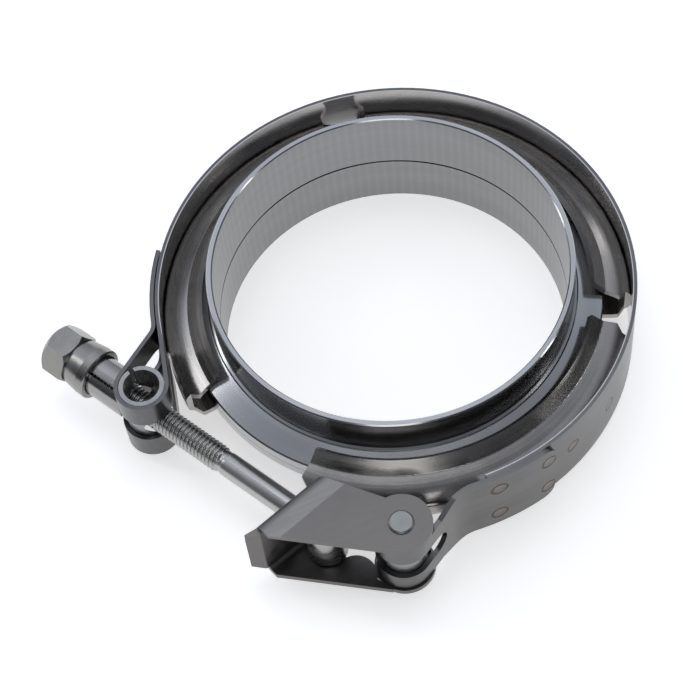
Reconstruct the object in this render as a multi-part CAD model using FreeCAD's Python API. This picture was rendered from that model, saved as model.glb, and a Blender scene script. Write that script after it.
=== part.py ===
import FreeCAD, Part
import math
import os
from FreeCAD import Vector

# Quick-release V-band clamp for a 3 inch exhaust, closed loosely round its two pipe flanges.
# Millimetres.  +Z is the pipe axis, the origin is the centre of the lower flange's open end,
# and the T-bolt runs along X on the -Y side.  Angles are in degrees, anticlockwise from +X.

# ---- pipe flanges -------------------------------------------------------------------------
bore_radius = 38.25          # slips over 76.2 mm pipe
neck_wall = 1.35
face_reach = 5.45            # sloping face, from its foot to the flange's edge
pair_height = 29.0           # both flanges, rim to rim
edge_height = 5.6            # both rims together, at the joint
joint_from_top = 14.5       # top rim down to the outer joint line
v_half_angle = 18.5          # slope of the faces that the retainers squeeze
step_width = 0.75            # shoulder between neck and sloping face
step_height = 0.5
spigot_wall = 3.75           # male ring under the upper flange
spigot_depth = 1.2
spigot_clearance = 0.1
joint_gap = 0.12             # the outer rims don't quite meet: the spigot seats first
rim_chamfer = 0.25
edge_chamfer = 0.3
joint_bevel = 0.2            # bore edges where the flanges meet

# ---- band ---------------------------------------------------------------------------------
band_reach = 6.25            # loose: flange edge to the band's outer face
band_thickness = 0.9
band_width = 20.0
clamp_offset_x = 0.86         # the loose clamp lies off the pipe axis by this much
band_end_angle = -31.0       # end that lies under the latch bracket
overlap_end_angle = 207.6    # end of the folded-back tail
overlap_start_angle = 228.0  # where the tail leaves the band again
tail_bend_radius = 4.0
seat = 0.01                  # between pieces that lie face to face
fold_gap = 0.25              # between the band and its own folded tail
tail_weld_radius = 1.5
tail_weld_angles = (211.0, 220.0)

# ---- V retainers --------------------------------------------------------------------------
retainer_thickness = 1.3
retainer_span = 99.0
retainer_centres = {"retainer_front": -24.5, "retainer_rear": 86.5, "retainer_left": 196.6}
web_height = 4.2             # flat part against the band
leg_slope = 42.0             # first part of a leg, from the radial direction
leg_reach = 2.0              # how far in it goes
shoulder_slope = 19.0
shoulder_reach = 3.4
lip_slope = 47.0
lip_reach = 2.5
web_bend = 1.0               # radii at the sheet's middle surface
shoulder_bend = 8.0
lip_bend = 1.1
end_point = 1.6              # how far the legs' ends run past the web's end

# ---- bolt line, trunnion and T-bolt -------------------------------------------------------
bolt_line_offset = 0.45      # bolt line, beyond the band's outer face
trunnion_x = -26.2
trunnion_radius = 4.875
trunnion_wall = 0.95
trunnion_inset = 0.1         # its ends, inside the band's edges
trunnion_slit = 1.1
trunnion_slit_angle = 160.0
loop_clearance = 0.12        # between a loop and what turns in it
slot_clearance = 0.2         # bolt in the loops' openings
trunnion_hole_clearance = 1.1
slot_end_beyond_trunnion = 13.0
bolt_diameter = 6.0
shank_diameter = 5.35        # plain part, the blank before thread rolling
thread_end_x = -4.2
bolt_beyond_trunnion = 25.6  # threaded end, past the trunnion's axis
bolt_end_chamfer = 0.8
head_behind_web = 6.9        # head axis, from the web's outer face
head_radius = 4.3
head_end_gap = 0.825         # each end to the latch's plate
head_chamfer = 0.4
head_collar_radius = 3.3     # upset ring where the shank meets the head
head_collar_length = 1.2

# ---- sleeve and nut -----------------------------------------------------------------------
sleeve_radius = 4.7
sleeve_wall = 1.15
sleeve_slit = 0.7
sleeve_slit_angle = 62.0     # round the bolt axis, from -Y towards +Z
sleeve_seat_gap = 0.15       # saddle end to the loop
sleeve_leg_gap = 0.5         # its end to the band's tail, so that the bolt can swing
nut_from_trunnion = 14.0     # trunnion's axis to the open end of the skirt
nut_skirt_length = 6.3
nut_skirt_radius = 5.95      # at its rim: it flares a little from the hexagon
nut_waist_radius = 5.5
nut_rim_length = 2.2
nut_counterbore_clearance = 0.2
nut_counterbore_depth = 3.6
nut_hex_length = 6.7
nut_across_flats = 10.9
nut_groove_width = 0.8
nut_groove_depth = 0.5
nut_thread_clearance = 0.05
nut_dome = 1.5               # how far the outer corners are turned off
nut_mouth = 0.7

# ---- latch bracket, pivot and latch -------------------------------------------------------
pivot_gap = 6.9174           # band's outer face to the pivot's axis
pivot_from_bolt_line = 7.2
bracket_thickness = 1.1
bracket_start_angle = -13.6
bracket_leave_angle = -34.0
bracket_bend_radius = 10.0
bracket_corner = 3.0
neck_narrowing = 1.7         # at each edge
knuckle_end_angle = 62.0     # the rolled end stops here, seen from the pivot
neck_start = 10.8            # where the neck starts to narrow, behind the pivot
neck_end = 5.8
knuckle_slot_end = 7.3       # how far the bolt's slot runs back from the pivot
knuckle_slot_left = 4.6      # slot ends this far left of the pivot
spacer_radius = 4.75
pin_radius = 2.65
pin_clearance = 0.05
pin_proud = 0.55
pin_chamfer = 0.35
latch_thickness = 1.5
latch_side_gap = 0.475       # plate to knuckle, each side
latch_lift = 0.3             # the latch sits this much above the clamp's middle
lobe_radius = 4.5            # round ear on the lower plate's rear edge, between head and pivot
lobe_from_pivot = 6.55
lobe_forward = 1.2           # in front of the bolt line
latch_bend_radius = 1.0      # inside
latch_eye_radius = 6.45
web_from_pivot = 21.65       # outer face of the web on the bolt line
web_tilt = 10.0
web_back = 5.5               # web's rear and front ends, from the bolt line
web_forward = 10.5
plate_turn_inset = 1.7       # corner where the plates' front edge turns, from the web
plate_turn_forward = 11.1
plate_rear_slope = 16.0      # rear edge of the upper plate, from the X axis
mouth_back = 0.8             # web and lower plate are cut away behind here
web_slot_forward = 5.5
web_slot_height = 6.8
tab_length = 2.8
tab_bend = 32.0              # turned out from the web by this angle
tab_height = 16.4            # where it leaves the web
tab_tip_height = 10.4

# ---- worked-out places --------------------------------------------------------------------
joint_z = pair_height - joint_from_top
flange_edge_radius = bore_radius + neck_wall + step_width + face_reach
spigot_radius = bore_radius + spigot_wall
band_outer_radius = flange_edge_radius + band_reach
outside = 2 * band_outer_radius   # beyond every piece, for cutting tools
bolt_y = -(band_outer_radius + bolt_line_offset)
pivot_y = bolt_y + pivot_from_bolt_line
pivot_x = math.sqrt((band_outer_radius + pivot_gap) ** 2 - pivot_y ** 2)
trunnion_length = band_width - 2 * trunnion_inset
knuckle_width = band_width - 2 * neck_narrowing
latch_inner_height = knuckle_width + 2 * latch_side_gap
head_length = latch_inner_height - 2 * head_end_gap
web_outer_x = pivot_x - web_from_pivot
head_x = web_outer_x + head_behind_web
bolt_end_x = trunnion_x - bolt_beyond_trunnion
nut_skirt_x = trunnion_x - nut_from_trunnion
mouth_y = bolt_y + mouth_back
band_inner_radius = band_outer_radius - band_thickness
web_mid_radius = band_inner_radius - seat - retainer_thickness / 2
tail_radius = band_outer_radius + fold_gap + band_thickness / 2
loop_radius = trunnion_radius + loop_clearance + band_thickness / 2
knuckle_radius = spacer_radius + loop_clearance + bracket_thickness / 2
slot_height = bolt_diameter + 2 * slot_clearance
latch_outer_height = latch_inner_height + 2 * latch_thickness
clamp_centre = Vector(clamp_offset_x, 0, 0)
trunnion_axis = Vector(trunnion_x, bolt_y, 0)
pivot_axis = Vector(pivot_x, pivot_y, 0)
UP = Vector(0, 0, 1)


def leg_corners():
    """Middle surface of a leg, as (radius, height) corners from the web outwards."""
    corner = (web_mid_radius, web_height / 2)
    points = [corner]
    runs = ((leg_slope, leg_reach), (shoulder_slope, shoulder_reach), (lip_slope, lip_reach))
    for slope, reach in runs:
        corner = (corner[0] - reach, corner[1] + reach * math.tan(math.radians(slope)))
        points.append(corner)
    return points


def hang_height():
    """Height of a leg's inner face over the clamp's middle, where it lies on the flange edge."""
    shoulder = leg_corners()[1]
    slope = math.radians(shoulder_slope)
    contact_radius = flange_edge_radius - edge_chamfer + abs(clamp_offset_x)
    middle = shoulder[1] + (shoulder[0] - contact_radius) * math.tan(slope)
    return middle - retainer_thickness / 2 / math.cos(slope)


# The loose clamp hangs on the upper flange: its legs' inner faces lie on that flange's edge.
clamp_z = joint_z + edge_height / 2 - hang_height() + seat


# ---- small geometry helpers ---------------------------------------------------------------
def polar(angle, radius=1.0, centre=Vector(0, 0, 0)):
    turn = math.radians(angle)
    return centre + Vector(radius * math.cos(turn), radius * math.sin(turn), 0)


def angle_of(vector):
    return math.degrees(math.atan2(vector.y, vector.x))


def cross_tangent(centre_a, radius_a, centre_b, radius_b, turn_a):
    """Ends of the straight run from circle a, turned round with sense turn_a, to circle b,
    which is turned round the other way."""
    line = centre_b - centre_a
    spread = math.degrees(math.acos((radius_a + radius_b) / line.Length))
    angle = angle_of(line) - turn_a * spread
    return angle, polar(angle, radius_a, centre_a), polar(angle + 180, radius_b, centre_b)


def arc_piece(centre, radius, start_angle, sweep):
    """One bend of a strip's middle line; sweep is positive anticlockwise."""
    return ("arc", centre, radius, start_angle, sweep)


def line_piece(start, end):
    return ("line", start, end)


def side_edge(piece, offset):
    """Edge of a strip, offset to the left of its direction of travel."""
    if piece[0] == "line":
        start, end = piece[1], piece[2]
        along = (end - start).normalize()
        left = Vector(-along.y, along.x, 0) * offset
        return Part.LineSegment(start + left, end + left).toShape()
    centre, radius, start_angle, sweep = piece[1:]
    side_radius = radius - offset * math.copysign(1, sweep)
    points = [polar(start_angle + sweep * share, side_radius, centre) for share in (0, 0.5, 1)]
    return Part.Arc(*points).toShape()


def strip_face(pieces, thickness):
    """Face of a bent strip, seen edge-on, round its middle line."""
    left = [side_edge(piece, thickness / 2) for piece in pieces]
    right = [side_edge(piece, -thickness / 2) for piece in pieces]
    first = Part.LineSegment(left[0].firstVertex().Point, right[0].firstVertex().Point).toShape()
    last = Part.LineSegment(left[-1].lastVertex().Point, right[-1].lastVertex().Point).toShape()
    return Part.Face(Part.Wire(Part.__sortEdges__(left + right + [first, last])))


def rounded_line(points, radii):
    """Middle line through corner points, each inner corner bent to its radius."""
    pieces = []
    start = points[0]
    for before, corner, after, radius in zip(points, points[1:], points[2:], radii):
        into = (corner - before).normalize()
        out = (after - corner).normalize()
        turn = math.degrees(math.atan2(into.x * out.y - into.y * out.x, into.dot(out)))
        setback = radius * math.tan(math.radians(abs(turn) / 2))
        bend_start = corner - into * setback
        sense = math.copysign(1, turn)
        centre = bend_start + Vector(-into.y, into.x, 0) * radius * sense
        pieces.append(line_piece(start, bend_start))
        pieces.append(arc_piece(centre, radius, angle_of(bend_start - centre), turn))
        start = corner + out * setback
    pieces.append(line_piece(start, points[-1]))
    return pieces


def upright(face):
    """Turn a face drawn in X and Y so that its Y becomes Z."""
    turned = face.copy()
    turned.rotate(Vector(0, 0, 0), Vector(1, 0, 0), 90)
    return turned


def slab(face, height, middle_z=0.0):
    """Extrude a flat face upwards, centred on a height."""
    solid = face.extrude(UP * height)
    solid.translate(UP * (middle_z - height / 2))
    return solid


def rod(radius, start, end):
    return Part.makeCylinder(radius, (end - start).Length, start, end - start)


def box(low, high):
    size = high - low
    return Part.makeBox(size.x, size.y, size.z, low)


def polygon_face(points):
    return Part.Face(Part.makePolygon(points + points[:1]))


def obround(axis, start, end, height, low, high):
    """Slot tool with round ends: runs from start to end along one axis, is cut along the other."""
    depth = high - low
    if axis == "y":
        bar = box(Vector(low, start, -height / 2), Vector(high, end, height / 2))
        places = [Vector(low, place, 0) for place in (start, end)]
        across = Vector(1, 0, 0)
    else:
        bar = box(Vector(start, low, -height / 2), Vector(end, high, height / 2))
        places = [Vector(place, low, 0) for place in (start, end)]
        across = Vector(0, 1, 0)
    return bar.multiFuse([Part.makeCylinder(height / 2, depth, place, across) for place in places])


# ---- pipe flanges -------------------------------------------------------------------------
def revolved(profile):
    """Turned part from (radius, height) corners."""
    return polygon_face([Vector(r, 0, z) for r, z in profile]).revolve(Vector(0, 0, 0), UP, 360)


def neck_profile(rim_z, edge_z, direction):
    """Outer line of a flange from its open rim to its edge; direction is +1 for the upper one."""
    neck_radius = bore_radius + neck_wall
    face_radius = neck_radius + step_width
    face_width = flange_edge_radius - edge_chamfer - face_radius
    face_z = edge_z + direction * face_width * math.tan(math.radians(v_half_angle))
    return [
        (bore_radius, rim_z - direction * rim_chamfer),
        (bore_radius + rim_chamfer, rim_z),
        (neck_radius - rim_chamfer, rim_z),
        (neck_radius, rim_z - direction * rim_chamfer),
        (neck_radius, face_z + direction * step_height),
        (face_radius - step_height / 2, face_z + direction * step_height / 2),
        (face_radius, face_z),
        (flange_edge_radius - edge_chamfer, edge_z),
        (flange_edge_radius, edge_z - direction * edge_chamfer),
    ]


def flange_upper():
    profile = neck_profile(pair_height, joint_z + edge_height / 2, 1)
    profile += [
        (flange_edge_radius, joint_z + joint_gap / 2),
        (spigot_radius, joint_z + joint_gap / 2),
        (spigot_radius, joint_z - spigot_depth + edge_chamfer),
        (spigot_radius - edge_chamfer, joint_z - spigot_depth),
        (bore_radius + joint_bevel, joint_z - spigot_depth),
        (bore_radius, joint_z - spigot_depth + joint_bevel),
    ]
    return revolved(profile)


def flange_lower():
    recess_radius = spigot_radius + spigot_clearance
    floor_z = joint_z - spigot_depth - seat
    profile = neck_profile(0.0, joint_z - edge_height / 2, -1)
    profile += [
        (flange_edge_radius, joint_z - joint_gap / 2),
        (recess_radius, joint_z - joint_gap / 2),
        (recess_radius, floor_z),
        (bore_radius + joint_bevel, floor_z),
        (bore_radius, floor_z - joint_bevel),
    ]
    return revolved(profile)


# ---- V retainers --------------------------------------------------------------------------
def retainer_section():
    """Rolled channel: flat web, two flared legs, turned-up lips."""
    upper = [Vector(r, z, 0) for r, z in leg_corners()]
    lower = [Vector(p.x, -p.y, 0) for p in reversed(upper)]
    radii = [lip_bend, shoulder_bend, web_bend, web_bend, shoulder_bend, lip_bend]
    return strip_face(rounded_line(lower + upper, radii), retainer_thickness)


def retainer_end_tool(angle, sense):
    """Trims an end of a retainer so that its legs run out to a point past the web."""
    reach = band_outer_radius + 2
    tip = leg_corners()[1][0]
    inner = leg_corners()[-1][0] - retainer_thickness
    point = math.degrees(end_point / tip) * sense
    outline = [
        polar(angle, reach),
        polar(angle, web_mid_radius - retainer_thickness / 2),
        polar(angle + point, tip),
        polar(angle, inner),
        polar(angle + 12 * sense, inner),
        polar(angle + 12 * sense, reach),
    ]
    return slab(polygon_face(outline), band_width)


def retainer(centre_angle):
    half = retainer_span / 2
    spare = math.degrees(end_point / leg_corners()[1][0]) + 1
    ring = upright(retainer_section()).revolve(Vector(0, 0, 0), UP, 2 * (half + spare))
    ring.rotate(Vector(0, 0, 0), UP, centre_angle - half - spare)
    ends = [retainer_end_tool(centre_angle + half, 1), retainer_end_tool(centre_angle - half, -1)]
    return ring.cut(ends[0]).cut(ends[1])


# ---- band ---------------------------------------------------------------------------------
def tail_run(hinge):
    """Straight run of the tail: its start angle and ends, and the centre of the bend after it."""
    bend_centre = polar(overlap_start_angle, tail_radius + tail_bend_radius)
    return cross_tangent(hinge, loop_radius, bend_centre, tail_bend_radius, -1) + (bend_centre,)


def band_path():
    """Band from its end under the bracket, round the pipe, round the trunnion and back."""
    radius = band_outer_radius - band_thickness / 2
    centre = Vector(0, 0, 0)
    hinge = trunnion_axis - clamp_centre
    leave, run_start, run_end = cross_tangent(centre, radius, hinge, loop_radius, 1)
    leave = leave % 360
    back, back_start, back_end, bend_centre = tail_run(hinge)
    loop_start = leave + 180
    loop_sweep = (loop_start - back) % 360
    bend_start = back + 180
    bend_sweep = (overlap_start_angle + 180 - bend_start) % 360
    return [
        arc_piece(centre, radius, band_end_angle, leave - band_end_angle),
        line_piece(run_start, run_end),
        arc_piece(hinge, loop_radius, loop_start, -loop_sweep),
        line_piece(back_start, back_end),
        arc_piece(bend_centre, tail_bend_radius, bend_start, bend_sweep),
        arc_piece(centre, tail_radius, overlap_start_angle, overlap_end_angle - overlap_start_angle),
    ]


def tail_weld(angle, height):
    inner = polar(angle, band_outer_radius - band_thickness / 2) + UP * height
    outer = polar(angle, tail_radius) + UP * height
    return rod(tail_weld_radius, inner, outer)


def band():
    strip = slab(strip_face(band_path(), band_thickness), band_width)
    welds = [tail_weld(angle, side * band_width / 4) for angle in tail_weld_angles for side in (-1, 1)]
    strip = strip.multiFuse(welds)
    hinge = trunnion_axis - clamp_centre
    reach = 2 * loop_radius
    slot = obround("y", hinge.y - reach, hinge.y + slot_end_beyond_trunnion - slot_height / 2,
                   slot_height, hinge.x - reach, hinge.x + reach)
    return strip.cut(slot)


# ---- latch bracket ------------------------------------------------------------------------
def bracket_path():
    """Plate along the band, bend outwards, straight neck, knuckle rolled round the spacer."""
    radius = band_outer_radius + seat + bracket_thickness / 2
    centre = Vector(0, 0, 0)
    pivot = pivot_axis - clamp_centre
    bend_centre = polar(bracket_leave_angle, radius + bracket_bend_radius)
    leave, neck_start, neck_end = cross_tangent(bend_centre, bracket_bend_radius, pivot, knuckle_radius, 1)
    bend_start = bracket_leave_angle + 180
    knuckle_start = leave + 180
    return [
        arc_piece(centre, radius, bracket_start_angle, bracket_leave_angle - bracket_start_angle),
        arc_piece(bend_centre, bracket_bend_radius, bend_start, (leave - bend_start) % 360),
        line_piece(neck_start, neck_end),
        arc_piece(pivot, knuckle_radius, knuckle_start, -((knuckle_start - knuckle_end_angle) % 360)),
    ]


def neck_trim():
    """Takes the strip down from plate width to knuckle width, with a sloping shoulder."""
    outline = [
        Vector(0, -outside, knuckle_width / 2),
        Vector(0, pivot_y + neck_end, knuckle_width / 2),
        Vector(0, pivot_y + neck_start, band_width / 2),
        Vector(0, pivot_y + neck_start, band_width),
        Vector(0, -outside, band_width),
    ]
    upper = polygon_face(outline).extrude(Vector(outside, 0, 0))
    return upper, upper.mirror(Vector(0, 0, 0), UP)


def bracket_corner_trim(side):
    """Rounds a corner of the bracket's free end."""
    edge = polar(bracket_start_angle, band_outer_radius) + UP * side * band_width / 2
    along = polar(bracket_start_angle - 90)
    through = polar(bracket_start_angle) * 3 * bracket_thickness
    base = edge + along * bracket_corner - UP * side * bracket_corner
    quarter = rod(bracket_corner, base - through, base + through)
    corner = base - through
    back = along * -2 * bracket_corner
    past = UP * side * 2 * bracket_corner
    block = polygon_face([corner, corner + back, corner + back + past, corner + past]).extrude(through * 2)
    return block.cut(quarter)


def latch_bracket():
    strip = slab(strip_face(bracket_path(), bracket_thickness), band_width)
    for trim in neck_trim():
        strip = strip.cut(trim)
    for side in (-1, 1):
        strip = strip.cut(bracket_corner_trim(side))
    pivot = pivot_axis - clamp_centre
    reach = 2 * knuckle_radius
    slot_radius = slot_height / 2
    neck_slot = obround("y", pivot.y - reach, pivot_y + knuckle_slot_end - slot_radius, slot_height,
                        pivot.x, pivot.x + reach)
    front_slot = obround("x", pivot.x - knuckle_slot_left + slot_radius, pivot.x + reach, slot_height,
                         pivot.y - reach, pivot.y)
    return strip.cut(neck_slot).cut(front_slot)


# ---- trunnion, sleeve, T-bolt and nut -----------------------------------------------------
def trunnion():
    """Rolled tube that stands in the band's loop, crossed by the bolt."""
    axis = trunnion_axis
    half = UP * trunnion_length / 2
    tube = rod(trunnion_radius, axis - half, axis + half)
    tube = tube.cut(rod(trunnion_radius - trunnion_wall, axis - half, axis + half))
    low = Vector(0, -trunnion_slit / 2, -trunnion_length)
    high = Vector(2 * trunnion_radius, trunnion_slit / 2, trunnion_length)
    slit = box(low, high)
    slit.rotate(Vector(0, 0, 0), UP, trunnion_slit_angle)
    slit.translate(axis)
    reach = Vector(2 * trunnion_radius, 0, 0)
    return tube.cut(slit).cut(rod(bolt_diameter / 2 + trunnion_hole_clearance, axis - reach, axis + reach))


def tail_relief():
    """Everything on the pipe's side of a line just outside the band's tail."""
    hinge = trunnion_axis - clamp_centre
    run_start, run_end = tail_run(hinge)[1:3]
    along = (run_end - run_start).normalize()
    outward = Vector(-along.y, along.x, 0)
    edge = run_start + clamp_centre + outward * (band_thickness / 2 + sleeve_leg_gap)
    far = along * band_width
    deep = outward * -band_width
    return slab(polygon_face([edge, edge + far, edge + far + deep, edge + deep]), band_width)


def sleeve():
    """Rolled spacer tube: one end saddle-cut to the loop, the other inside the nut's skirt."""
    start_x = nut_skirt_x - nut_counterbore_depth + sleeve_seat_gap
    start = Vector(start_x, bolt_y, 0)
    tube = rod(sleeve_radius, start, trunnion_axis)
    tube = tube.cut(rod(sleeve_radius - sleeve_wall, start, trunnion_axis))
    low = Vector(start_x - 1, -sleeve_slit / 2, 0)
    high = Vector(trunnion_x, sleeve_slit / 2, 2 * sleeve_radius)
    slit = box(low, high)
    slit.rotate(Vector(0, 0, 0), Vector(1, 0, 0), 90 - sleeve_slit_angle)
    slit.translate(Vector(0, bolt_y, 0))
    saddle_radius = loop_radius + band_thickness / 2 + sleeve_seat_gap
    half = UP * band_width / 2
    tube = tube.cut(slit).cut(rod(saddle_radius, trunnion_axis - half, trunnion_axis + half))
    return tube.cut(tail_relief())


def bolt_line(x):
    return Vector(x, bolt_y, 0)


def turned_x(profile):
    """Turned part round the bolt line from (x, radius) corners."""
    outline = polygon_face([Vector(x, r, 0) for x, r in profile])
    solid = outline.revolve(Vector(0, 0, 0), Vector(1, 0, 0), 360)
    solid.translate(bolt_line(0))
    return solid


def t_bolt():
    """Rolled-thread bolt, its plain shank and the cylindrical head that stands across it."""
    thread_radius = bolt_diameter / 2
    shank_radius = shank_diameter / 2
    collar_x = head_x - math.sqrt(head_radius ** 2 - head_collar_radius ** 2) - head_collar_length
    stem = turned_x([
        (bolt_end_x, 0),
        (bolt_end_x, thread_radius - bolt_end_chamfer),
        (bolt_end_x + bolt_end_chamfer, thread_radius),
        (thread_end_x, thread_radius),
        (thread_end_x + bolt_end_chamfer, shank_radius),
        (collar_x, shank_radius),
        (collar_x, head_collar_radius),
        (head_x, head_collar_radius),
        (head_x, 0),
    ])
    half = UP * head_length / 2
    head = rod(head_radius, bolt_line(head_x) - half, bolt_line(head_x) + half)
    head = head.makeChamfer(head_chamfer, [edge for edge in head.Edges if edge.Closed])
    return stem.fuse(head).removeSplitter()


def nut():
    """Hexagon and round skirt in one piece, with a groove between them and a counterbore."""
    hex_x = nut_skirt_x - nut_skirt_length
    outer_x = hex_x - nut_hex_length
    flat_radius = nut_across_flats / 2
    corner_radius = nut_across_flats / math.sqrt(3)
    spokes = [polar(60 * k, corner_radius) for k in range(6)]
    corners = [bolt_line(outer_x) + Vector(0, spoke.x, spoke.y) for spoke in spokes]
    hexagon = polygon_face(corners).extrude(Vector(nut_hex_length, 0, 0))
    dome = turned_x([
        (outer_x, 0),
        (outer_x, flat_radius * 0.86),
        (outer_x + nut_dome * 0.4, flat_radius),
        (outer_x + nut_dome, corner_radius),
        (hex_x - nut_dome * 0.45, corner_radius),
        (hex_x, flat_radius * 1.02),
        (hex_x, 0),
    ])
    groove_radius = nut_waist_radius - nut_groove_depth
    skirt = turned_x([
        (hex_x, 0),
        (hex_x, groove_radius),
        (hex_x + nut_groove_width, groove_radius),
        (hex_x + nut_groove_width, nut_waist_radius),
        (nut_skirt_x - nut_rim_length, nut_skirt_radius),
        (nut_skirt_x - rim_chamfer, nut_skirt_radius),
        (nut_skirt_x, nut_skirt_radius - rim_chamfer),
        (nut_skirt_x, 0),
    ])
    thread_radius = bolt_diameter / 2 + nut_thread_clearance
    hole = turned_x([
        (outer_x, 0),
        (outer_x, thread_radius + nut_mouth),
        (outer_x + nut_mouth, thread_radius),
        (nut_skirt_x - nut_counterbore_depth, thread_radius),
        (nut_skirt_x - nut_counterbore_depth, sleeve_radius + nut_counterbore_clearance),
        (nut_skirt_x, sleeve_radius + nut_counterbore_clearance),
        (nut_skirt_x, 0),
    ])
    return hexagon.common(dome).fuse(skirt).cut(hole).removeSplitter()


# ---- latch --------------------------------------------------------------------------------
def web_point(y):
    """Point on the web's outer face at a given Y."""
    return Vector(web_outer_x + (y - bolt_y) * math.tan(math.radians(web_tilt)), y, 0)


def latch_channel():
    """Folded sheet as one long U: upper plate, web, lower plate."""
    half = (latch_inner_height + latch_thickness) / 2
    corners = [Vector(outside, half, 0), Vector(latch_thickness / 2, half, 0),
               Vector(latch_thickness / 2, -half, 0), Vector(outside, -half, 0)]
    bend = latch_bend_radius + latch_thickness / 2
    section = upright(strip_face(rounded_line(corners, [bend, bend]), latch_thickness))
    channel = section.extrude(Vector(0, 2 * outside, 0))
    channel.translate(Vector(0, -outside, 0))
    channel.rotate(Vector(0, 0, 0), UP, -web_tilt)
    channel.translate(web_point(bolt_y))
    return channel


def plate_outline(rear_y=None):
    """Plan of a latch plate: web edge, slanting front and rear edges, round eye at the pivot."""
    rear_corner = web_point(bolt_y + web_back)
    front_corner = web_point(bolt_y - web_forward)
    turn_corner = Vector(web_outer_x + plate_turn_inset, bolt_y - plate_turn_forward, 0)
    to_pivot = pivot_axis - turn_corner
    spread = math.degrees(math.asin(latch_eye_radius / to_pivot.Length))
    front_tangent = polar(angle_of(to_pivot) - spread - 90, latch_eye_radius, pivot_axis)
    rear_end = rear_corner + polar(plate_rear_slope, pivot_x - rear_corner.x - 3.0)
    blade = polygon_face([rear_corner, front_corner, turn_corner, front_tangent, pivot_axis, rear_end])
    eye = Part.Face(Part.Wire(Part.makeCircle(latch_eye_radius, pivot_axis)))
    plan = slab(blade.fuse(eye).removeSplitter(), latch_outer_height)
    if rear_y is None:
        return plan
    behind = box(Vector(-outside, rear_y, -outside), Vector(outside, outside, outside))
    tall = UP * latch_outer_height
    lobe_axis = Vector(pivot_x - lobe_from_pivot, bolt_y - lobe_forward, 0)
    keep_eye = rod(latch_eye_radius, pivot_axis - tall, pivot_axis + tall)
    keep_lobe = rod(lobe_radius, lobe_axis - tall, lobe_axis + tall)
    return plan.cut(behind.cut(keep_eye).cut(keep_lobe))


def latch_tab():
    """Finger tab: the web carried on past the plates, bent outwards and tapered."""
    along = polar(270 - web_tilt)
    outward = polar(270 - web_tilt - tab_bend)
    inward = polar(-web_tilt) * latch_thickness
    bent_inward = polar(-web_tilt - tab_bend) * latch_thickness
    root = web_point(bolt_y - web_forward)
    start = root - along * 4
    tip = root + outward * tab_length
    crease = root + inward + along * latch_thickness * math.tan(math.radians(tab_bend / 2))
    plan = polygon_face([start, root, tip, tip + bent_inward, crease, start + inward])
    blank = slab(plan, tab_height)
    for side in (-1, 1):
        high = UP * side * tab_height / 2
        low = UP * side * tab_tip_height / 2
        away = UP * side * tab_height
        wedge = polygon_face([root + high, tip + outward + low, tip + outward + away, root + away])
        blank = blank.cut(wedge.extrude(bent_inward * 3).fuse(wedge.extrude(bent_inward * -3)))
    return blank


def latch():
    channel = latch_channel()
    bend_top = latch_outer_height / 2 - latch_thickness - latch_bend_radius
    above = box(Vector(-outside, -outside, bend_top), Vector(outside, outside, outside))
    upper = channel.common(above).common(plate_outline())
    lower = channel.cut(above).common(plate_outline(mouth_y))
    body = upper.fuse(lower).fuse(latch_tab()).removeSplitter()
    slot = obround("y", bolt_y - web_slot_forward + web_slot_height / 2, outside, web_slot_height,
                   -outside, head_x - head_radius)
    tall = UP * latch_outer_height
    return body.cut(slot).cut(rod(pin_radius + pin_clearance, pivot_axis - tall, pivot_axis + tall))


def latch_spacer():
    half = UP * (latch_inner_height / 2 - seat)
    tube = rod(spacer_radius, pivot_axis - half, pivot_axis + half)
    return tube.cut(rod(pin_radius + pin_clearance, pivot_axis - half, pivot_axis + half))


def latch_pin():
    half = UP * (latch_outer_height / 2 + pin_proud)
    pin = rod(pin_radius, pivot_axis - half, pivot_axis + half)
    return pin.makeChamfer(pin_chamfer, [edge for edge in pin.Edges if edge.Closed])


# ---- all pieces ---------------------------------------------------------------------------
def moved(shape, offset):
    shape.translate(offset)
    return shape


def pieces():
    on_clamp = clamp_centre + UP * clamp_z
    at_height = UP * clamp_z
    made = {"flange_upper": flange_upper(), "flange_lower": flange_lower()}
    made["band"] = moved(band(), on_clamp)
    for name, angle in retainer_centres.items():
        made[name] = moved(retainer(angle), on_clamp)
    made["latch_bracket"] = moved(latch_bracket(), on_clamp)
    for name, make in (("trunnion", trunnion), ("sleeve", sleeve), ("t_bolt", t_bolt), ("nut", nut)):
        made[name] = moved(make(), at_height)
    for name, make in (("latch", latch), ("latch_spacer", latch_spacer), ("latch_pin", latch_pin)):
        made[name] = moved(make(), at_height + UP * latch_lift)
    return made


os.makedirs("parts", exist_ok=True)
for name, shape in pieces().items():
    print(name, shape.isValid(), len(shape.Solids), round(shape.Volume, 1), shape.BoundBox)
    shape.exportStep("parts/" + name + ".step")
print("clamp middle at z", round(clamp_z, 3))
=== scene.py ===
import bpy
import bmesh
import math
from mathutils import Matrix, Vector


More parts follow.
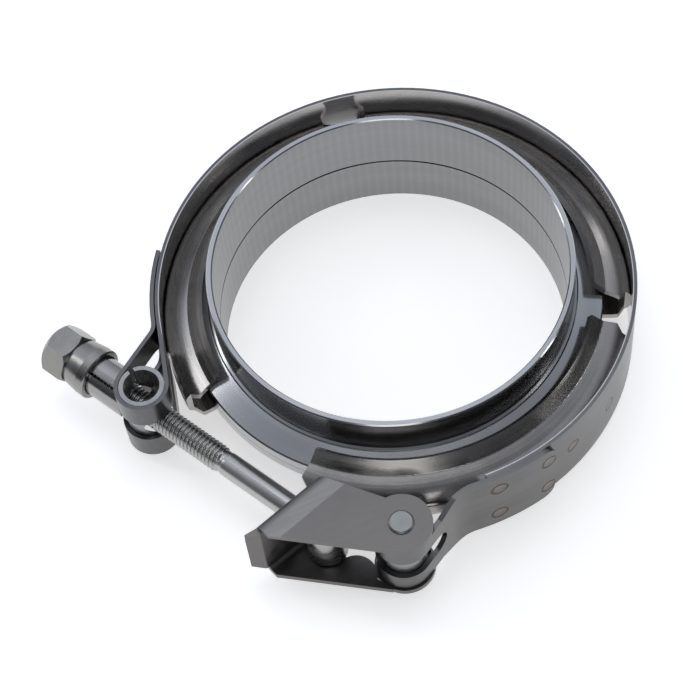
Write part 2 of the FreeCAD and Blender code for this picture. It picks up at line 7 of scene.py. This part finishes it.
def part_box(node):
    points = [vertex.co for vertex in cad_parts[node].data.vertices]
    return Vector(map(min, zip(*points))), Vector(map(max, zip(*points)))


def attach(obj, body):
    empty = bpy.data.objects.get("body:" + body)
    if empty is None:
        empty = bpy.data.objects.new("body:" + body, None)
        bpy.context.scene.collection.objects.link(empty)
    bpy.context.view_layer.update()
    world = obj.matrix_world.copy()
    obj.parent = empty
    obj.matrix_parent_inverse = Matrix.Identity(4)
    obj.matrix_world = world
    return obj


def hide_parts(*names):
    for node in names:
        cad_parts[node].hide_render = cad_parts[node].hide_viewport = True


# Looks of the quick-release V-band clamp, and its T-bolt with the rolled thread.
# Lengths are metres, angles are degrees anticlockwise from +X, and +Z is the pipe axis.
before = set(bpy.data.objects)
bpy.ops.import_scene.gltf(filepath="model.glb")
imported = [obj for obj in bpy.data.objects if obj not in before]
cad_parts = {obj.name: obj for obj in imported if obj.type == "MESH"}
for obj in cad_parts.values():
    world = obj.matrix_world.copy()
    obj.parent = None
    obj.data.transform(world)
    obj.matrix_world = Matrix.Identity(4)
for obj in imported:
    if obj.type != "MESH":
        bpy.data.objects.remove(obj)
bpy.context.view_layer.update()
MM = 0.001


# ---- places taken from the CAD nodes --------------------------------------------------------
bolt_low, bolt_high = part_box("t_bolt")
head_radius = (bolt_high.y - bolt_low.y) / 2
head_axis_x = bolt_high.x - head_radius
head_length = bolt_high.z - bolt_low.z
bolt_y = (bolt_low.y + bolt_high.y) / 2
bolt_z = (bolt_low.z + bolt_high.z) / 2
band_low, band_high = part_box("band")
clamp_z = (band_low.z + band_high.z) / 2
band_radius = band_high.y
latch_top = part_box("latch")[1].z

# ---- sizes that no node's box gives; they match the CAD source ------------------------------
clamp_x = 0.86 * MM                          # the loose clamp lies off the pipe axis
bore_radius = 38.25 * MM
joint_line_z = 13.3 * MM                     # where the two flanges' bores meet
latch_web_x = 16.1 * MM                      # outer face of the latch's web, on the bolt line
tail_weld_radius = band_radius + 1.1 * MM    # near the outer face of the band's folded tail
bracket_radius = band_radius + 1.11 * MM     # outer face of the latch bracket's plate

# ---- spot welds: angle and height above the clamp's middle ----------------------------------
band_weld_places = ((-7.0, 1.0), (8.0, -1.0), (50.0, 1.0), (74.0, -1.0),
                    (98.0, 1.0), (122.0, -1.0), (160.0, 1.0), (184.0, -1.0))
tail_weld_places = ((211.0, -5.0), (211.0, 5.0), (220.0, -5.0), (220.0, 5.0))
bracket_weld_places = ((-15.6, -5.4), (-15.6, 5.4), (-28.5, -5.4), (-28.5, 5.4))
band_weld_size = 1.5 * MM                    # radius of the pressed ring
bracket_weld_size = 1.75 * MM

# ---- T-bolt details -------------------------------------------------------------------------
thread_end_x = -4.2 * MM
thread_major_radius = 2.99 * MM
thread_root_radius = 2.42 * MM
thread_pitch = 1.0 * MM
shank_radius = 2.675 * MM
collar_radius = 3.28 * MM
head_edge = 0.45 * MM                        # rounding of the head's two ends
tip_inset = 0.01 * MM                        # the visible tip lies this far inside the CAD's
head_inset = 0.005 * MM
bolt_segments = 56
head_segments = 72


# ---- camera, lights and floor ---------------------------------------------------------------
def add_camera():
    """Camera fitted to the photograph: its axes, then turned by the roll."""
    target = Vector((3.81, -21.36, 29.0)) * MM
    distance = 428.06 * MM
    right = Vector((0.70501, 0.70920, 0.0))
    up = Vector((-0.60661, 0.60303, 0.51806))
    back = Vector((0.36741, -0.36524, 0.85535))
    roll = math.radians(7.780)
    image_right = math.cos(roll) * right - math.sin(roll) * up
    image_up = math.sin(roll) * right + math.cos(roll) * up
    data = bpy.data.cameras.new("camera")
    data.lens = 107.9
    data.sensor_width = 36.0
    data.clip_start = 0.01
    data.clip_end = 20.0
    camera = bpy.data.objects.new("camera", data)
    bpy.context.scene.collection.objects.link(camera)
    matrix = Matrix((image_right, image_up, back)).transposed().to_4x4()
    matrix.translation = target + back * distance
    camera.matrix_world = matrix
    bpy.context.scene.camera = camera


def area_light(name, place, aim, width, length, power):
    data = bpy.data.lights.new(name, "AREA")
    data.shape = "RECTANGLE"
    data.size = width
    data.size_y = length
    data.energy = power
    light = bpy.data.objects.new(name, data)
    light.location = place
    light.rotation_euler = (Vector(aim) - Vector(place)).to_track_quat("-Z", "Y").to_euler()
    bpy.context.scene.collection.objects.link(light)


def grey_ramp(nodes, stops):
    """Colour ramp from (position, grey) stops, a little blue."""
    ramp = nodes.new("ShaderNodeValToRGB")
    elements = ramp.color_ramp.elements
    elements.remove(elements[1])
    for index, (position, grey) in enumerate(stops):
        element = elements[0] if index == 0 else elements.new(position)
        element.position = position
        element.color = (grey * 0.97, grey, grey * 1.06, 1)
    return ramp


def add_world():
    """Soft studio, bright at the left rear and above, darker at the front right and below."""
    world = bpy.data.worlds.new("studio")
    bpy.context.scene.world = world
    world.use_nodes = True
    nodes, links = world.node_tree.nodes, world.node_tree.links
    nodes.clear()
    coordinates = nodes.new("ShaderNodeTexCoord")
    towards_source = nodes.new("ShaderNodeVectorMath")
    towards_source.operation = "DOT_PRODUCT"
    towards_source.inputs[1].default_value = (-0.75, 0.55, 0.35)
    links.new(coordinates.outputs["Generated"], towards_source.inputs[0])
    source = grey_ramp(nodes, ((0.0, 0.16), (0.42, 0.46), (0.78, 0.95)))
    links.new(towards_source.outputs["Value"], source.inputs[0])
    split = nodes.new("ShaderNodeSeparateXYZ")
    links.new(coordinates.outputs["Generated"], split.inputs[0])
    height = grey_ramp(nodes, ((0.0, 0.42), (0.35, 0.62), (0.70, 1.0)))
    links.new(split.outputs["Z"], height.inputs[0])
    both = nodes.new("ShaderNodeMix")
    both.data_type = "RGBA"
    both.blend_type = "MULTIPLY"
    both.inputs[0].default_value = 1.0
    links.new(source.outputs[0], both.inputs[6])
    links.new(height.outputs[0], both.inputs[7])
    background = nodes.new("ShaderNodeBackground")
    links.new(both.outputs[2], background.inputs["Color"])
    output = nodes.new("ShaderNodeOutputWorld")
    links.new(background.outputs[0], output.inputs[0])


def floor_material():
    """Pale floor that keeps the shadows and shows white to the camera, metal and glass."""
    material = bpy.data.materials.new("floor_white")
    material.use_nodes = True
    nodes, links = material.node_tree.nodes, material.node_tree.links
    nodes.clear()
    diffuse = nodes.new("ShaderNodeBsdfDiffuse")
    diffuse.inputs["Color"].default_value = (0.86, 0.86, 0.86, 1)
    glow = nodes.new("ShaderNodeEmission")
    glow.inputs["Strength"].default_value = 0.55
    path = nodes.new("ShaderNodeLightPath")
    seen = path.outputs["Is Camera Ray"]
    for ray in ("Is Glossy Ray", "Is Transmission Ray"):
        either = nodes.new("ShaderNodeMath")
        either.operation = "MAXIMUM"
        links.new(seen, either.inputs[0])
        links.new(path.outputs[ray], either.inputs[1])
        seen = either.outputs[0]
    both = nodes.new("ShaderNodeAddShader")
    links.new(diffuse.outputs[0], both.inputs[0])
    links.new(glow.outputs[0], both.inputs[1])
    mix = nodes.new("ShaderNodeMixShader")
    links.new(seen, mix.inputs[0])
    links.new(diffuse.outputs[0], mix.inputs[1])
    links.new(both.outputs[0], mix.inputs[2])
    output = nodes.new("ShaderNodeOutputMaterial")
    links.new(mix.outputs[0], output.inputs[0])
    return material


def add_floor():
    reach = 3.0
    corners = [(x * reach, y * reach, 0) for x, y in ((-1, -1), (1, -1), (1, 1), (-1, 1))]
    mesh = bpy.data.meshes.new("floor")
    mesh.from_pydata(corners, [], [(0, 1, 2, 3)])
    mesh.materials.append(floor_material())
    floor = bpy.data.objects.new("floor", mesh)
    floor.location.z = -0.05 * MM
    bpy.context.scene.collection.objects.link(floor)


add_camera()
add_world()
add_floor()
area_light("overhead", (-0.1, 0.1, 1.1), (0, 0, 0), 0.5, 0.5, 1.6)
area_light("front_fill", (0.6, -0.8, 0.7), (0, 0, 0.01), 0.5, 0.5, 1.6)
area_light("left_strip", (-0.9, -0.35, 0.5), (0, 0, 0.01), 0.15, 0.9, 1.6)
area_light("right_strip", (0.75, 0.45, 0.45), (0, 0, 0.01), 0.12, 0.7, 1.0)


# ---- procedural metals ----------------------------------------------------------------------
class Recipe:
    """Small helper that wires the shader nodes of one material."""

    def __init__(self, name):
        self.material = bpy.data.materials.new(name)
        self.material.use_nodes = True
        self.nodes = self.material.node_tree.nodes
        self.links = self.material.node_tree.links
        self.nodes.clear()
        self.shader = self.nodes.new("ShaderNodeBsdfPrincipled")
        self.shader.inputs["Metallic"].default_value = 1.0
        output = self.nodes.new("ShaderNodeOutputMaterial")
        self.links.new(self.shader.outputs[0], output.inputs[0])
        coordinates = self.nodes.new("ShaderNodeTexCoord")
        self.place = coordinates.outputs["Object"]

    def feed(self, socket, value):
        """Link another node's output to the socket, or set the number or vector on it."""
        if isinstance(value, bpy.types.NodeSocket):
            self.links.new(value, socket)
        else:
            socket.default_value = value

    def set_shader(self, socket, value):
        self.links.new(value, self.shader.inputs[socket])

    def math(self, operation, a, b=0.0, clamp=False):
        node = self.nodes.new("ShaderNodeMath")
        node.operation = operation
        node.use_clamp = clamp
        self.feed(node.inputs[0], a)
        self.feed(node.inputs[1], b)
        return node.outputs[0]

    def vector(self, operation, a, b):
        """Vector arithmetic; a distance comes out as one number."""
        node = self.nodes.new("ShaderNodeVectorMath")
        node.operation = operation
        self.feed(node.inputs[0], a)
        self.feed(node.inputs[1], b)
        return node.outputs["Value" if operation == "DISTANCE" else "Vector"]

    def split(self, vector):
        node = self.nodes.new("ShaderNodeSeparateXYZ")
        self.links.new(vector, node.inputs[0])
        return node.outputs["X"], node.outputs["Y"], node.outputs["Z"]

    def join(self, x, y, z):
        node = self.nodes.new("ShaderNodeCombineXYZ")
        for socket, value in zip(node.inputs, (x, y, z)):
            self.links.new(value, socket)
        return node.outputs[0]

    def noise(self, vector, scale, detail=3.0, rough=0.5):
        node = self.nodes.new("ShaderNodeTexNoise")
        self.links.new(vector, node.inputs["Vector"])
        node.inputs["Scale"].default_value = scale
        node.inputs["Detail"].default_value = detail
        node.inputs["Roughness"].default_value = rough
        return node.outputs[0]

    def ramp(self, value, low, high, out_low=0.0, out_high=1.0):
        """Smooth step from out_low at low to out_high at high."""
        node = self.nodes.new("ShaderNodeMapRange")
        node.interpolation_type = "SMOOTHSTEP"
        self.links.new(value, node.inputs["Value"])
        node.inputs["From Min"].default_value = low
        node.inputs["From Max"].default_value = high
        node.inputs["To Min"].default_value = out_low
        node.inputs["To Max"].default_value = out_high
        return node.outputs[0]

    def mix(self, share, a, b):
        """Mix of two colours, each an output or a (red, green, blue) tuple."""
        node = self.nodes.new("ShaderNodeMix")
        node.data_type = "RGBA"
        self.feed(node.inputs[0], share)
        for socket, value in ((node.inputs[6], a), (node.inputs[7], b)):
            self.feed(socket, value + (1.0,) if isinstance(value, tuple) else value)
        return node.outputs[2]

    def bump(self, height, strength, distance, normal=None):
        node = self.nodes.new("ShaderNodeBump")
        node.inputs["Strength"].default_value = strength
        node.inputs["Distance"].default_value = distance
        self.links.new(height, node.inputs["Height"])
        if normal is not None:
            self.links.new(normal, node.inputs["Normal"])
        return node.outputs[0]

    def around(self, centre_x=0.0):
        """Coordinates that run round the pipe axis: arc length at 50 mm, radius, height."""
        x, y, z = self.split(self.vector("SUBTRACT", self.place, (centre_x, 0, 0)))
        angle = self.math("ARCTAN2", y, x)
        square = self.math("ADD", self.math("MULTIPLY", x, x), self.math("MULTIPLY", y, y))
        return self.join(self.math("MULTIPLY", angle, 50 * MM), self.math("SQRT", square), z)

    def turned(self, degrees):
        """Object coordinates turned about Z, so that X runs along a brushing direction."""
        x, y, z = self.split(self.place)
        cosine = math.cos(math.radians(degrees))
        sine = math.sin(math.radians(degrees))
        along = self.math("ADD", self.math("MULTIPLY", x, cosine), self.math("MULTIPLY", y, sine))
        across = self.math("SUBTRACT", self.math("MULTIPLY", y, cosine), self.math("MULTIPLY", x, sine))
        return self.join(along, across, z)

    def wobble(self, scale, size):
        """Small uneven length, to keep an edge from looking ruled."""
        uneven = self.math("SUBTRACT", self.noise(self.place, scale), 0.5)
        return self.math("MULTIPLY", uneven, size)

    def brushed(self, grain, colour, warm, brush, bump, cloud):
        """Fine parallel scratches over slow clouding, as on rolled or brushed stainless.

        brush is the scratches' fineness along the grain's three axes, cloud the clouding's.
        Gives the base colour, and keeps the scratches, the clouding and the normal.
        """
        self.streaks = self.noise(self.vector("MULTIPLY", grain, brush), 1.0, 4.0, 0.6)
        self.clouds = self.noise(self.place, cloud, 3.0, 0.55)
        specks = self.noise(self.place, 1400.0, 2.0, 0.5)
        scratches = self.math("MULTIPLY", self.streaks, 0.8)
        height = self.math("ADD", scratches, self.math("MULTIPLY", specks, 0.35))
        self.normal = self.bump(height, bump, 0.04 * MM)
        self.set_shader("Normal", self.normal)
        dark = tuple(channel * 0.80 for channel in colour)
        base = self.mix(self.ramp(self.clouds, 0.30, 0.70), colour, warm)
        return self.mix(self.ramp(self.streaks, 0.35, 0.68, 0.45, 0.0), base, dark)

    def scratched_roughness(self, roughness, spread):
        """Roughness that follows the scratches and, less, the clouding."""
        fine = self.ramp(self.streaks, 0.3, 0.7, -spread, spread)
        slow = self.ramp(self.clouds, 0.3, 0.7, -spread * 0.6, spread * 0.6)
        rough = self.math("ADD", self.math("ADD", fine, slow), roughness, clamp=True)
        self.set_shader("Roughness", rough)

    def clouded_roughness(self, shift, low, high):
        """Roughness that follows the clouding from low to high, moved by the shift."""
        self.set_shader("Roughness", self.math("ADD", shift, self.ramp(self.clouds, 0.3, 0.7, low, high)))

    def spot_welds(self, base, places, radius):
        """Pressed ring with a brown heat tint round each spot weld, and painted shade darkening the ring's
        groove.
        """
        nearest = self.vector("DISTANCE", self.place, places[0])
        for place in places[1:]:
            nearest = self.math("MINIMUM", nearest, self.vector("DISTANCE", self.place, place))
        nearest = self.math("ADD", nearest, self.wobble(500.0, 0.6 * MM))
        groove_inside = self.ramp(nearest, radius * 0.72, radius * 0.95)
        groove_outside = self.ramp(nearest, radius, radius * 1.28, 1.0, 0.0)
        groove_and_painted_shade = self.math("MULTIPLY", groove_inside, groove_outside)
        dimple = self.ramp(nearest, 0.0, radius, 1.0, 0.0)
        depth = self.math("MULTIPLY", dimple, -0.5)
        height = self.math("ADD", self.math("MULTIPLY", groove_and_painted_shade, -1.0), depth)
        self.set_shader("Normal", self.bump(height, 0.8, 0.25 * MM, self.normal))
        tint = self.ramp(nearest, radius * 0.9, radius * 1.9, 0.45, 0.0)
        base = self.mix(tint, base, (0.19, 0.15, 0.115))
        # Painted shade: the pressed ring's groove is darkened nearly to black, standing in for the shade
        # that falls into it.
        return self.mix(self.math("MULTIPLY", groove_and_painted_shade, 0.85), base, (0.035, 0.03, 0.028))


def weld_centres(places, radius):
    """Points on the clamp at the radius, from pairs of angle and millimetres of height."""
    centres = []
    for angle, height in places:
        turn = math.radians(angle)
        x = clamp_x + radius * math.cos(turn)
        y = radius * math.sin(turn)
        centres.append(Vector((x, y, clamp_z + height * MM)))
    return centres


def strap_metal(name, welds, weld_size):
    """Dark rolled strap, smoother inside the band, where its inner face is painted paler as painted light;
    with its spot welds.
    """
    recipe = Recipe(name)
    place = recipe.around(clamp_x)
    base = recipe.brushed(
        place, (0.125, 0.125, 0.128), (0.155, 0.152, 0.148), (18, 900, 900), 0.10, 60.0)
    radius = recipe.split(place)[1]
    mask_radius = band_radius - 0.7 * MM    # within the thickness of the band's sheet
    inner_face_smooth_and_painted_light = recipe.ramp(radius, mask_radius - 0.05 * MM, mask_radius + 0.05 * MM, 1.0, 0.0)
    # Painted light: the band's inner face gets a pale grey, standing in for the light that falls on it.
    base = recipe.mix(inner_face_smooth_and_painted_light, base, (0.52, 0.51, 0.51))
    recipe.clouded_roughness(recipe.math("MULTIPLY", inner_face_smooth_and_painted_light, -0.16), 0.28, 0.36)
    recipe.set_shader("Base Color", recipe.spot_welds(base, welds, weld_size))
    return recipe.material


def flange_metal(name):
    """Turned flange: satin grey bore with a dark joint line, bright polished outside."""
    recipe = Recipe(name)
    place = recipe.around()
    base = recipe.brushed(
        place, (0.42, 0.425, 0.435), (0.46, 0.46, 0.465), (6, 260, 260), 0.02, 30.0)
    radius, height = recipe.split(place)[1:]
    in_bore = recipe.ramp(radius, bore_radius - 0.1 * MM, bore_radius + 0.1 * MM, 1.0, 0.0)
    base = recipe.mix(in_bore, base, (0.20, 0.201, 0.203))
    near_bore = recipe.ramp(radius, bore_radius + 0.3 * MM, bore_radius + 0.4 * MM, 1.0, 0.0)
    from_joint = recipe.math("ABSOLUTE", recipe.math("SUBTRACT", height, joint_line_z))
    at_joint = recipe.ramp(from_joint, 0.22 * MM, 0.30 * MM, 1.0, 0.0)
    base = recipe.mix(recipe.math("MULTIPLY", near_bore, at_joint), base, (0.02, 0.02, 0.022))
    recipe.clouded_roughness(recipe.math("MULTIPLY", in_bore, 0.30), 0.15, 0.21)
    recipe.set_shader("Base Color", base)
    return recipe.material


def latch_metal():
    """Matte sheet brushed on the slant, with a paler pressed strip beside the upper bend."""
    recipe = Recipe("latch_sheet")
    base = recipe.brushed(
        recipe.turned(62.0), (0.140, 0.135, 0.132), (0.175, 0.165, 0.157), (30, 1500, 900), 0.12, 90.0)
    recipe.scratched_roughness(0.38, 0.06)
    x, y, z = recipe.split(recipe.place)
    web_slant = math.tan(math.radians(10.0))
    shift = recipe.math("MULTIPLY", recipe.math("SUBTRACT", y, bolt_y), web_slant)
    from_web = recipe.math("SUBTRACT", recipe.math("SUBTRACT", x, latch_web_x), shift)
    from_web = recipe.math("ADD", from_web, recipe.wobble(900.0, 0.4 * MM))
    strip = recipe.ramp(from_web, 5.6 * MM, 6.0 * MM, 1.0, 0.0)
    upper_face = recipe.ramp(z, latch_top - 0.9 * MM, latch_top - 0.3 * MM)
    share = recipe.math("MULTIPLY", recipe.math("MULTIPLY", strip, upper_face), 0.55)
    recipe.set_shader("Base Color", recipe.mix(share, base, (0.26, 0.258, 0.26)))
    return recipe.material


def plain_metal(name, colour, warm, roughness, spread, brush=(18, 900, 900), bump=0.10, straight=False):
    """Brushed round the pipe axis, or straight along X for what lies on the bolt."""
    recipe = Recipe(name)
    grain = recipe.place if straight else recipe.around()
    base = recipe.brushed(grain, colour, warm, brush, bump, 60.0)
    recipe.scratched_roughness(roughness, spread)
    recipe.set_shader("Base Color", base)
    return recipe.material


band_welds = weld_centres(band_weld_places, band_radius) + weld_centres(tail_weld_places, tail_weld_radius)
bracket_welds = weld_centres(bracket_weld_places, bracket_radius)
retainer_metal = plain_metal(
    "rolled_channel", (0.42, 0.405, 0.39), (0.50, 0.48, 0.455), 0.27, 0.05, (14, 500, 500), 0.06)
bolt_metal = plain_metal(
    "bolt_metal", (0.40, 0.40, 0.39), (0.47, 0.465, 0.45), 0.27, 0.06, (24, 500, 500), straight=True)

materials = {
    "band": strap_metal("band_sheet", band_welds, band_weld_size),
    "latch_bracket": strap_metal("bracket_sheet", bracket_welds, bracket_weld_size),
    "latch": latch_metal(),
    "latch_pin": plain_metal(
        "pin_metal", (0.27, 0.28, 0.285), (0.31, 0.32, 0.32), 0.50, 0.06, (300, 300, 300), 0.16),
    "latch_spacer": plain_metal(
        "spacer_metal", (0.33, 0.33, 0.33), (0.40, 0.40, 0.39), 0.30, 0.06),
    "trunnion": plain_metal(
        "trunnion_metal", (0.30, 0.30, 0.305), (0.36, 0.36, 0.35), 0.32, 0.06),
    "sleeve": plain_metal(
        "sleeve_metal", (0.30, 0.295, 0.285), (0.36, 0.35, 0.335), 0.19, 0.05,
        (20, 700, 700), 0.08, straight=True),
    "nut": plain_metal(
        "nut_metal", (0.26, 0.255, 0.245), (0.31, 0.30, 0.285), 0.24, 0.05,
        (300, 300, 300), straight=True),
    "flange_upper": flange_metal("turned_upper"),
    "flange_lower": flange_metal("turned_lower"),
    "retainer_front": retainer_metal,
    "retainer_rear": retainer_metal,
    "retainer_left": retainer_metal,
}
for node_name, material in materials.items():
    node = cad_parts[node_name]
    node.data.materials.clear()
    node.data.materials.append(material)


# ---- T-bolt with its thread -----------------------------------------------------------------
def closed_tube(rings):
    """Closed mesh from rings of points, each ring a list of vectors of the same length."""
    build = bmesh.new()
    made = [[build.verts.new(point) for point in ring] for ring in rings]
    count = len(rings[0])
    for lower, upper in zip(made, made[1:]):
        for k in range(count):
            following = (k + 1) % count
            build.faces.new((lower[k], lower[following], upper[following], upper[k]))
    build.faces.new(list(reversed(made[0])))
    build.faces.new(made[-1])
    return build


def ring_along_bolt(x, radius_at):
    """Ring round the bolt's axis; radius_at gives the radius for each share of a turn."""
    ring = []
    for k in range(bolt_segments):
        angle = 2 * math.pi * k / bolt_segments
        radius = radius_at(k / bolt_segments)
        ring.append(Vector((x, bolt_y + radius * math.cos(angle), bolt_z + radius * math.sin(angle))))
    return ring


def round_ring(x, radius):
    return ring_along_bolt(x, lambda turn: radius)


def head_ring(radius, z):
    ring = []
    for k in range(head_segments):
        angle = 2 * math.pi * k / head_segments
        ring.append(Vector((head_axis_x + radius * math.cos(angle), bolt_y + radius * math.sin(angle), z)))
    return ring


def thread_radius(turn, x, start):
    """Rounded V thread that fades out at its inner end and starts lower at its tip."""
    phase = ((x / thread_pitch) - turn) % 1.0
    ridge = 1.0 - abs(2.0 * phase - 1.0)
    ridge = min(1.0, max(0.0, (ridge - 0.10) / 0.74))
    ridge = ridge * ridge * (3 - 2 * ridge)
    fade = min(1.0, max(0.0, (thread_end_x - x) / (1.6 * thread_pitch)))
    lead = min(1.0, max(0.0, (x - start) / thread_pitch))
    crest_height = (thread_major_radius - thread_root_radius) * (0.35 + 0.65 * lead)
    return thread_root_radius + crest_height * ridge * fade


def thread_ring(x, start):
    return ring_along_bolt(x, lambda turn: thread_radius(turn, x, start))


def threaded_shank():
    start = bolt_low.x + tip_inset
    step = thread_pitch / 10
    count = int((thread_end_x - start) / step)
    rings = [thread_ring(start + index * step, start) for index in range(count + 1)]
    rings.append(round_ring(thread_end_x + 0.5 * MM, shank_radius - 0.03 * MM))
    rings.append(round_ring(thread_end_x + 0.8 * MM, shank_radius))
    rings.append(round_ring(head_axis_x, shank_radius))
    return closed_tube(rings)


def bolt_head():
    """Cross head along Z, with rounded ends."""
    radius = head_radius - head_inset
    reach = head_length / 2
    profile = ((radius - head_edge, reach - head_inset),
               (radius - 0.3 * head_edge, reach - 0.25 * head_edge),
               (radius, reach - head_edge))
    lower = [head_ring(radius_here, bolt_z - rise) for radius_here, rise in profile]
    upper = [head_ring(radius_here, bolt_z + rise) for radius_here, rise in reversed(profile)]
    return closed_tube(lower + upper)


def bolt_collar():
    """Upset ring where the shank meets the head."""
    start = head_axis_x - head_radius
    return closed_tube([
        round_ring(start - 0.5 * MM, 2.68 * MM),
        round_ring(start - 0.2 * MM, 3.1 * MM),
        round_ring(start + 0.2 * MM, collar_radius),
        round_ring(head_axis_x, collar_radius),
    ])


def add_bolt_piece(name, build, smooth_angle):
    bmesh.ops.recalc_face_normals(build, faces=build.faces[:])
    mesh = bpy.data.meshes.new(name)
    build.to_mesh(mesh)
    build.free()
    mesh.materials.append(bolt_metal)
    piece = bpy.data.objects.new(name, mesh)
    bpy.context.scene.collection.objects.link(piece)
    mesh.shade_smooth()
    mesh.set_sharp_from_angle(angle=math.radians(smooth_angle))
    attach(piece, "bolt")
    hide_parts("t_bolt")


add_bolt_piece("threaded_shank", threaded_shank(), 60.0)
add_bolt_piece("bolt_head", bolt_head(), 35.0)
add_bolt_piece("bolt_collar", bolt_collar(), 35.0)

bpy.context.scene.view_settings.view_transform = "Standard"
